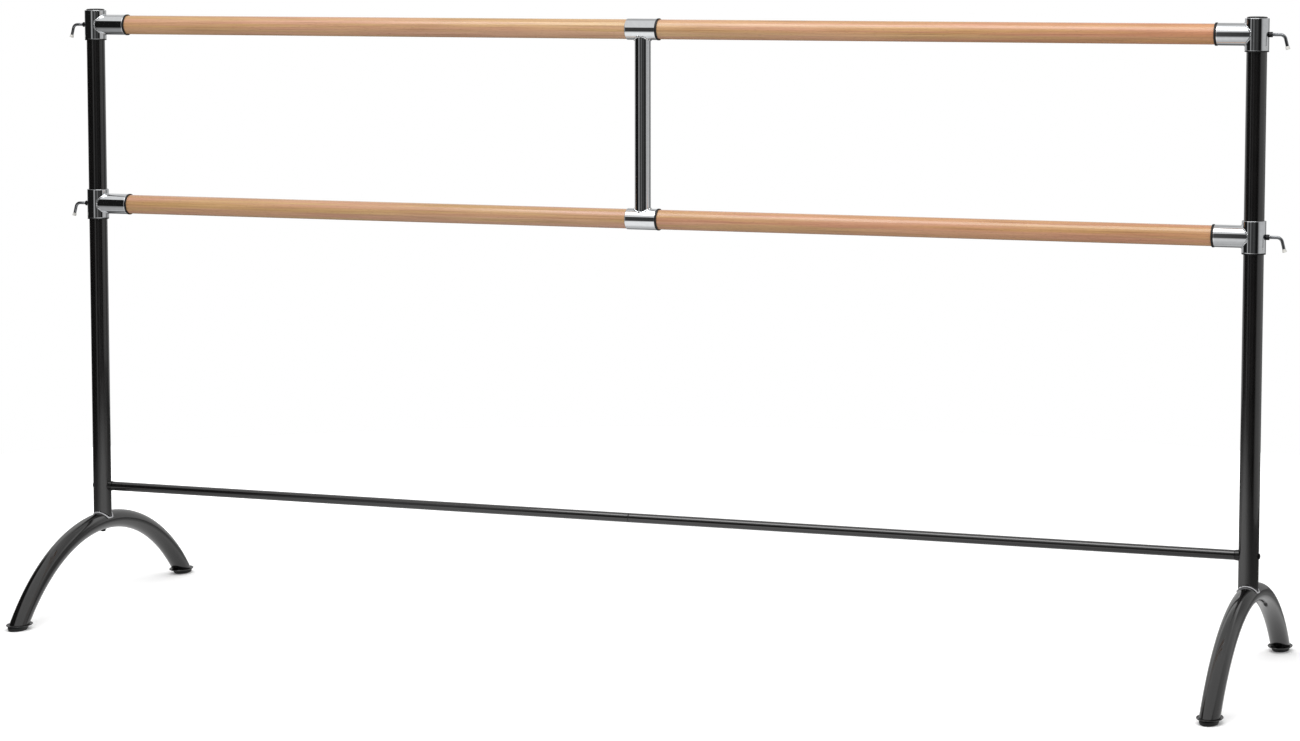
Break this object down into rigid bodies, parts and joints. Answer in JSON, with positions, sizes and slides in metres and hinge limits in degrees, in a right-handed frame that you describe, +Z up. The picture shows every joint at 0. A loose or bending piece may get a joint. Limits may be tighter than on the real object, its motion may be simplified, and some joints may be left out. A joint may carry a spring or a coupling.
{
  "type": "portable double ballet barre",
  "caption": "Free-standing double ballet barre: two wooden barres in chrome tees that slide on black posts with arched legs and a tie rod.",
  "frame": {"origin": "on the floor, midway between the four feet", "axes": "+X along the barres, +Y to the rear, +Z up"},
  "size_m": [2.5618, 0.7566, 1.2536],
  "materials": {
    "black_powder_coat": "gloss black powder coat on steel tube",
    "chrome_plate": "polished chrome plate on welded steel",
    "varnished_beech": "sanded beech with a thin satin varnish, grain along the barre",
    "black_rubber": "moulded matt rubber",
    "black_nylon": "moulded satin nylon",
    "black_steel_fasteners": "blackened steel",
    "zinc_plated_steel": "bright zinc plate",
    "grey_gasket": "moulded grey plastic",
    "pale_plastic": "moulded pale plastic"
  },
  "bodies": {
    "stand": {"left_post": "black_powder_coat", "left_arch_leg": "black_powder_coat", "left_tie_rod": "black_powder_coat", "left_post_plug": "black_nylon", "left_tie_spacer": "black_nylon", "left_front_foot_cap": "black_nylon", "left_front_foot_pad": "black_rubber", "left_rear_foot_cap": "black_nylon", "left_rear_foot_pad": "black_rubber", "left_post_insert": "zinc_plated_steel", "left_saddle_gasket": "grey_gasket", "left_leg_washer": "black_steel_fasteners", "left_leg_bolt": "black_steel_fasteners", "left_tie_bolt": "black_steel_fasteners", "right_post": "black_powder_coat", "right_arch_leg": "black_powder_coat", "right_tie_rod": "black_powder_coat", "right_post_plug": "black_nylon", "right_tie_spacer": "black_nylon", "right_front_foot_cap": "black_nylon", "right_front_foot_pad": "black_rubber", "right_rear_foot_cap": "black_nylon", "right_rear_foot_pad": "black_rubber", "right_post_insert": "zinc_plated_steel", "right_saddle_gasket": "grey_gasket", "right_leg_washer": "black_steel_fasteners", "right_leg_bolt": "black_steel_fasteners", "right_tie_bolt": "black_steel_fasteners", "tie_rod_spigot": "zinc_plated_steel"},
    "barre_frame": {"upper_left_tee": "chrome_plate", "upper_left_tee_liner": "black_nylon", "upper_left_bar": "varnished_beech", "upper_left_bar_ring": "black_rubber", "upper_left_lock_nut": "black_steel_fasteners", "lower_left_tee": "chrome_plate", "lower_left_tee_liner": "black_nylon", "lower_left_bar": "varnished_beech", "lower_left_bar_ring": "black_rubber", "lower_left_lock_nut": "black_steel_fasteners", "upper_right_tee": "chrome_plate", "upper_right_tee_liner": "black_nylon", "upper_right_bar": "varnished_beech", "upper_right_bar_ring": "black_rubber", "upper_right_lock_nut": "black_steel_fasteners", "lower_right_tee": "chrome_plate", "lower_right_tee_liner": "black_nylon", "lower_right_bar": "varnished_beech", "lower_right_bar_ring": "black_rubber", "lower_right_lock_nut": "black_steel_fasteners", "upper_centre_bar_ring": "black_rubber", "lower_centre_bar_ring": "black_rubber", "centre_coupling": "chrome_plate"},
    "upper_left_screw": {"upper_left_hand_screw": "zinc_plated_steel", "upper_left_screw_tip": "pale_plastic"},
    "upper_right_screw": {"upper_right_hand_screw": "zinc_plated_steel", "upper_right_screw_tip": "pale_plastic"},
    "lower_left_screw": {"lower_left_hand_screw": "zinc_plated_steel", "lower_left_screw_tip": "pale_plastic"},
    "lower_right_screw": {"lower_right_hand_screw": "zinc_plated_steel", "lower_right_screw_tip": "pale_plastic"}
  },
  "joints": [
    {"name": "barre_height", "type": "slide", "parent": "stand", "child": "barre_frame", "axis": [0, 0, 1], "range_m": [-0.5, 0]},
    {"name": "upper_left_screw_turn", "type": "hinge", "parent": "barre_frame", "child": "upper_left_screw", "pos_m": [-1.249, 0, 1.22], "axis": [-1, 0, 0], "range_deg": [0, 540]},
    {"name": "upper_right_screw_turn", "type": "hinge", "parent": "barre_frame", "child": "upper_right_screw", "pos_m": [1.249, 0, 1.22], "axis": [1, 0, 0], "range_deg": [0, 540]},
    {"name": "lower_left_screw_turn", "type": "hinge", "parent": "barre_frame", "child": "lower_left_screw", "pos_m": [-1.249, 0, 0.845], "axis": [-1, 0, 0], "range_deg": [0, 540]},
    {"name": "lower_right_screw_turn", "type": "hinge", "parent": "barre_frame", "child": "lower_right_screw", "pos_m": [1.249, 0, 0.845], "axis": [1, 0, 0], "range_deg": [0, 540]}
  ]
}
